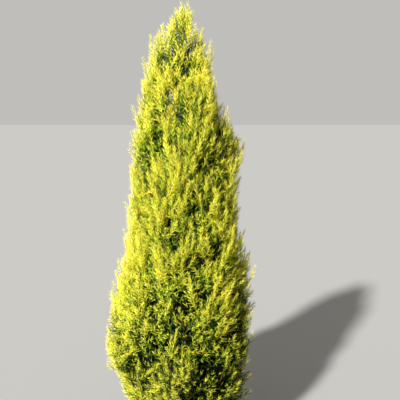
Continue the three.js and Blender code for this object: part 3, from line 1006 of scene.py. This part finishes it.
def grow_shoots(sprays, rng):
    """Origins, directions, lengths, widths, and each shoot's spray and place along it. Deep in
    the crown the shoots are fewer and coarser."""
    size = np.linalg.norm(sprays[:, 2] - sprays[:, 0], axis=1)
    depth = depth_in_crown(sprays[:, 1])
    inner = np.clip((depth - INNER_FROM) / (INNER_TO - INNER_FROM), 0, 1)
    coarser = mix(1, INNER_COARSER, inner)
    spray, order, share = spaced(size / coarser, SHOOT_SPACING, FEWEST_SHOOTS)
    t = mix(*SHOOTS_FROM_TO, share)
    along = heading(sprays[spray], t)
    side, front = square_to(along)
    turn = order * GOLDEN_ANGLE + rng.uniform(0, 2 * np.pi, len(sprays))[spray]
    out = side * np.cos(turn)[:, None] + front * np.sin(turn)[:, None]
    opening = mix(*SHOOT_OPENING, share) * rng.uniform(*SHOOT_OPENING_VARIES, len(spray))
    direction = along * np.cos(opening)[:, None] + out * np.sin(opening)[:, None]
    length = mix(*SHOOT_LENGTH, share) * rng.uniform(*LENGTH_VARIES, len(spray))
    length *= coarser[spray] ** COARSER_LENGTH
    width = mix(*SHOOT_WIDTH, share) * coarser[spray]
    return on_curve(sprays[spray], t), direction, length, width, spray, share


# %% [markdown]
# ## Colours of the shoots
#
# New growth in full light is lemon yellow, the growth behind it lime, and what stays in the
# shade green. Nine plain tones give that; the two darkest are nearly black and are painted
# shade. They are dealt out by spray: the deeper a spray lies in the crown and the further it
# faces from the light, the greener its tone, partly the foliage's own colour and partly painted
# light and shade. Round its spray's tone, each side shoot is greener at the spray's foot and
# brighter at its tip.

# %% The tones, from the brightest to the deepest
TONES = {
    "amber": (240, 208, 52),
    "lemon": (250, 243, 80),
    "golden": (240, 228, 40),
    "lime": (208, 215, 44),
    "spring_green": (161, 186, 38),
    "leaf_green": (110, 143, 32),
    "mid_green": (64, 95, 22),
    # The last two tones are nearly black: painted shade for the inside of the crown.
    "deep_green": (30, 54, 12),
    "shade_green": (11, 25, 6),
}
GLOSSY_TONES = 5
GLOSSY = {"roughness": 0.45, "specular": 0.4}
MATT = {"roughness": 0.6, "specular": 0.1}
FOLIAGE = [
    Finish("foliage_" + name, colour, **(GLOSSY if number < GLOSSY_TONES else MATT))
    for number, (name, colour) in enumerate(TONES.items())
]
TWIG_WOOD = [
    Finish("twig_brown", (112, 82, 50), roughness=0.8),
    Finish("twig_green", (138, 140, 62), roughness=0.7),
]
print(len(FOLIAGE), "tones of foliage")

# %% [markdown]
# ## Dealing the tones
#
# A tone is a number: 0 is lemon, and each step up is the next tone in the list. It grows with
# the depth under the surface, which counts the hollows between the plumes more and more up the
# tree: partly the inner foliage's own green, and painted shade deep in the crown. Then it is
# shifted by the height, by the side and by chance. The shifts by height and side are painted
# light and shade from the upper left, partly also the foliage's own gold in the sun: lighter at
# the top and on the lit side, darker at the foot, on the lower right and in the hollows. Low on
# the tree and on the right the tones lie further apart, as painted highlights and painted shade.

# %% Which tone a spray has
TONE_PLACE = 0.6
# Deeper is greener and darker: partly the inner foliage's own green, painted shade deep down.
TONE_DEPTH = 0.0115
TONE_START = 2.2
LOBED_ABOVE = 0.6
LEAST_LOBED = 0.2
# Facing the light is lighter, facing the lower right darker: partly the foliage's own gold or green,
# partly painted light and shade.
LIT_SIDE = unit(np.array([-0.75, -0.3, 0.6]))
SUN_GOLD_AND_PAINTED_LIGHT = 0.4
SHADED_SIDE = unit(np.array([0.8, 0.1, -0.6]))
SHADE_GREEN_AND_PAINTED_SHADE = 0.4
SHADED_FROM = 0.2
# Painted light and shade by height, and by side at each height: darker at the foot, and on the right
# darker low down and lighter high up.
TONE_HEIGHTS = (0.5, 0.85, 1.15, 1.6, 1.95)
PAINTED_LIGHT_AND_SHADE_AT_HEIGHTS = (2.0, -1.7, -0.2, 0.1, -2.0)
SIDE_HEIGHTS = (0.5, 0.85, 1.2, 1.7)
PAINTED_LIGHT_AND_SHADE_BY_SIDE = (2.6, 0.5, -0.5, -0.5)
# Painted shade in the hollows.
HOLLOW_PAINTED_SHADE = 1.7
SPRAY_TONE_SPREAD = 0.7


def tone_of_sprays(sprays, rng):
    """0 or less for a lemon spray, and more for a greener and darker one: partly the foliage's
    own colour, partly painted light and shade.
    """
    middle = on_curve(sprays, np.full(len(sprays), TONE_PLACE))
    z = middle[:, 2]
    out = unit(middle - trunk_centre(z))
    lobed = np.clip(z - LOBED_ABOVE, LEAST_LOBED, 1)
    depth = mix(depth_in_crown(middle), depth_in_lobes(middle), lobed)
    # The depth gives partly real green and partly painted shade, the height painted light and shade.
    tone = depth / TONE_DEPTH - TONE_START + np.interp(z, TONE_HEIGHTS, PAINTED_LIGHT_AND_SHADE_AT_HEIGHTS)
    # Painted light on the lit side and painted shade on the shaded side, partly the foliage's own
    # colour.
    tone -= SUN_GOLD_AND_PAINTED_LIGHT * dot(out, LIT_SIDE)
    tone += SHADE_GREEN_AND_PAINTED_SHADE * np.clip(dot(out, SHADED_SIDE) - SHADED_FROM, 0, 1)
    # Painted light and shade by side, changing with height.
    tone += out[:, 0] * np.interp(z, SIDE_HEIGHTS, PAINTED_LIGHT_AND_SHADE_BY_SIDE)
    # Painted shade in the hollows between clumps.
    tone += HOLLOW_PAINTED_SHADE * hollows(middle)
    return tone + rng.normal(0, SPRAY_TONE_SPREAD, len(sprays))


# %% Which tone a side shoot has
# From foot to tip: partly the spray's own greener foot and lemon tip, partly painted shade at the
# foot.
SHOOT_TONES = (2.9, -1.2)
SHOOT_TONE_SPREAD = 1.4
# Painted highlights and painted shade lie further apart low on the tree and on the right.
LOW_HEIGHTS = (0.5, 0.9)
PAINTED_CONTRAST_LOW_DOWN = 0.9
PAINTED_CONTRAST_ON_SHADED_SIDE = 0.8


def tone_of_shoots(tone, sprays, spray, share, rng):
    """Each shoot's tone: greener at the foot of its spray and brighter at the tip, partly its own
    colour and partly painted shade at the foot. The tones of one spray lie further apart low on
    the tree and on its shaded side, as painted highlights and painted shade."""
    place = sprays[:, 1]
    # Wider spread of painted highlights and painted shade low down and on the right.
    contrast = 1 + PAINTED_CONTRAST_LOW_DOWN * np.interp(place[:, 2], LOW_HEIGHTS, (1, 0))
    contrast += PAINTED_CONTRAST_ON_SHADED_SIDE * np.clip(unit(place - trunk_centre(place[:, 2]))[:, 0], 0, 1)
    middle = sum(SHOOT_TONES) / 2
    apart = mix(*SHOOT_TONES, share) - middle + rng.normal(0, SHOOT_TONE_SPREAD, len(spray))
    return (tone + middle)[spray] + contrast[spray] * apart


# %% From tones to finishes
AXIS_TONE = 0.4
AMBER_SPRAYS = 0.16
AMBER_SHOOTS = 0.4
BRIGHT_TONES = 3


def dealt(tone, is_amber):
    """The number of each one's finish: from 1 for lemon, or 0 where a bright one is amber."""
    number = np.clip(np.round(tone), 0, len(TONES) - 2) + 1
    return np.where(is_amber & (number <= BRIGHT_TONES), 0, number)


def shades(sprays, spray, share, rng):
    """The finishes of the side shoots and of the sprays' axes."""
    tone = tone_of_sprays(sprays, rng)
    amber_spray = rng.uniform(0, 1, len(sprays)) < AMBER_SPRAYS * sprays[:, 0, 2] / TREE_HEIGHT
    amber_shoot = amber_spray[spray] & (rng.uniform(0, 1, len(spray)) < AMBER_SHOOTS)
    shoot_tone = tone_of_shoots(tone, sprays, spray, share, rng)
    return dealt(shoot_tone, amber_shoot), dealt(tone + AXIS_TONE, amber_spray)


# %% All the twigs
twigs_of = [grow_twigs(i, np.random.default_rng(TWIG_SEED + i)) for i in range(len(stems))]
fillers, filler_stems = grow_fillers(np.concatenate(twigs_of), np.random.default_rng(FILLER_SEED))
print(sum(len(t) for t in twigs_of), "twigs and", len(fillers), "more in open places")

# %% The foliage of one plume
AXIS_PLACES = (0, 0.55)
AXIS_RADII = (0.0012, 0.0008)
AXIS_SIDES = 3


def foliage_of(name, twigs, rng):
    """One piece with all the side shoots and axes of these twigs' sprays."""
    sprays = grow_sprays(twigs, rng)
    origin, direction, length, width, spray, share = grow_shoots(sprays, rng)
    shoots = thorns(origin, direction, length, width, rng.uniform(0, 2 * np.pi, len(origin)))
    axes = tubes(sprays, AXIS_PLACES, np.tile(AXIS_RADII, (len(sprays), 1)), AXIS_SIDES)
    shoot_shades, axis_shades = shades(sprays, spray, share, rng)
    shade = [np.repeat(shoot_shades, len(shoots[1])), np.repeat(axis_shades, len(axes[1]))]
    print(name, len(twigs), "twigs", len(sprays), "sprays", len(origin), "side shoots")
    return add_piece(name + "_foliage", *gathered([shoots, axes]), FOLIAGE, np.concatenate(shade))


# %% The wood of a plume's twigs
TWIG_PLACES = (0, 0.3, 0.65)
TWIG_RADII = (0.011, 0.0088, 0.006)
TWIG_SIDES = 5
GREEN_TWIGS = 0.5


def wood_of(name, twigs, rng):
    """One piece with all these twigs, each as thick as its length asks."""
    length = np.linalg.norm(twigs[:, 2] - twigs[:, 0], axis=1)
    stalks = tubes(twigs, TWIG_PLACES, np.outer(length, TWIG_RADII), TWIG_SIDES)
    green = np.repeat(rng.uniform(0, 1, len(twigs)) < GREEN_TWIGS, len(stalks[1]))
    return add_piece(name + "_twigs", *gathered([stalks]), TWIG_WOOD, green)


# %% Plumes of foliage
triangles = 0
for number, plume in enumerate(plumes):
    rng = np.random.default_rng(SEED + number)
    own_stems = [i for i, stem in enumerate(stems) if stem["plume"] == number]
    own_fillers = fillers[np.isin(filler_stems, own_stems)]
    twigs = np.concatenate([twigs_of[i] for i in own_stems] + [own_fillers])
    foliage = foliage_of(plume["name"], twigs, rng)
    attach(foliage, "root")
    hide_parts(plume["mass"])
    twig_piece = wood_of(plume["name"], twigs, rng)
    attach(twig_piece, "root")
    triangles += len(foliage.data.polygons) + len(twig_piece.data.polygons)
print("foliage and twigs:", triangles, "triangles")

# %% [markdown]
# ## Floor, light and camera
#
# The tree stands on a plain pale floor in a soft studio, lit from the upper left as in the
# photograph. The camera stands at eye height and looks a little down, so the foot of the tree
# falls just under the lower edge of the picture.

# %% The floor
FLOOR_SIZE = 160.0
floor_finish = Finish("pale_floor", (152, 151, 148), roughness=0.9, specular=0.1)
half = FLOOR_SIZE / 2
floor_points = [[-half, -half, 0], [half, -half, 0], [half, half, 0], [-half, half, 0]]
floor = add_piece("floor", floor_points, [[0, 1, 2], [0, 2, 3]], [floor_finish], smooth=False)

# %% The light from the upper left
KEY_STRENGTH = 7.2
KEY_WIDTH = math.radians(4)
KEY_PLACE = Vector((-2.3, -2.8, 3.7))
KEY_TARGET = Vector((0, 0, 0.9))
key_data = bpy.data.lights.new("key", "SUN")
key_data.energy = KEY_STRENGTH
key_data.angle = KEY_WIDTH
key = bpy.data.objects.new("key", key_data)
key.location = KEY_PLACE
key.rotation_euler = (KEY_TARGET - KEY_PLACE).to_track_quat("-Z", "Y").to_euler()
bpy.context.scene.collection.objects.link(key)

# %% The soft light all round
STUDIO_COLOUR = (1.0, 0.99, 0.95, 1)
STUDIO_STRENGTH = 0.52
world = bpy.data.worlds.new("studio")
world.use_nodes = True
backdrop = world.node_tree.nodes["Background"]
backdrop.inputs["Color"].default_value = STUDIO_COLOUR
backdrop.inputs["Strength"].default_value = STUDIO_STRENGTH
bpy.context.scene.world = world
bpy.context.scene.view_settings.view_transform = "Standard"

# %% The camera
FIELD_OF_VIEW = math.radians(50)
CAMERA_PLACE = (0.087, -1.83, 1.545)
CAMERA_PITCH = math.radians(11)
camera_data = bpy.data.cameras.new("camera")
camera_data.sensor_fit = "HORIZONTAL"
camera_data.angle = FIELD_OF_VIEW
camera = bpy.data.objects.new("camera", camera_data)
camera.location = CAMERA_PLACE
camera.rotation_euler = (math.pi / 2 - CAMERA_PITCH, 0, 0)
bpy.context.scene.collection.objects.link(camera)
bpy.context.scene.camera = camera
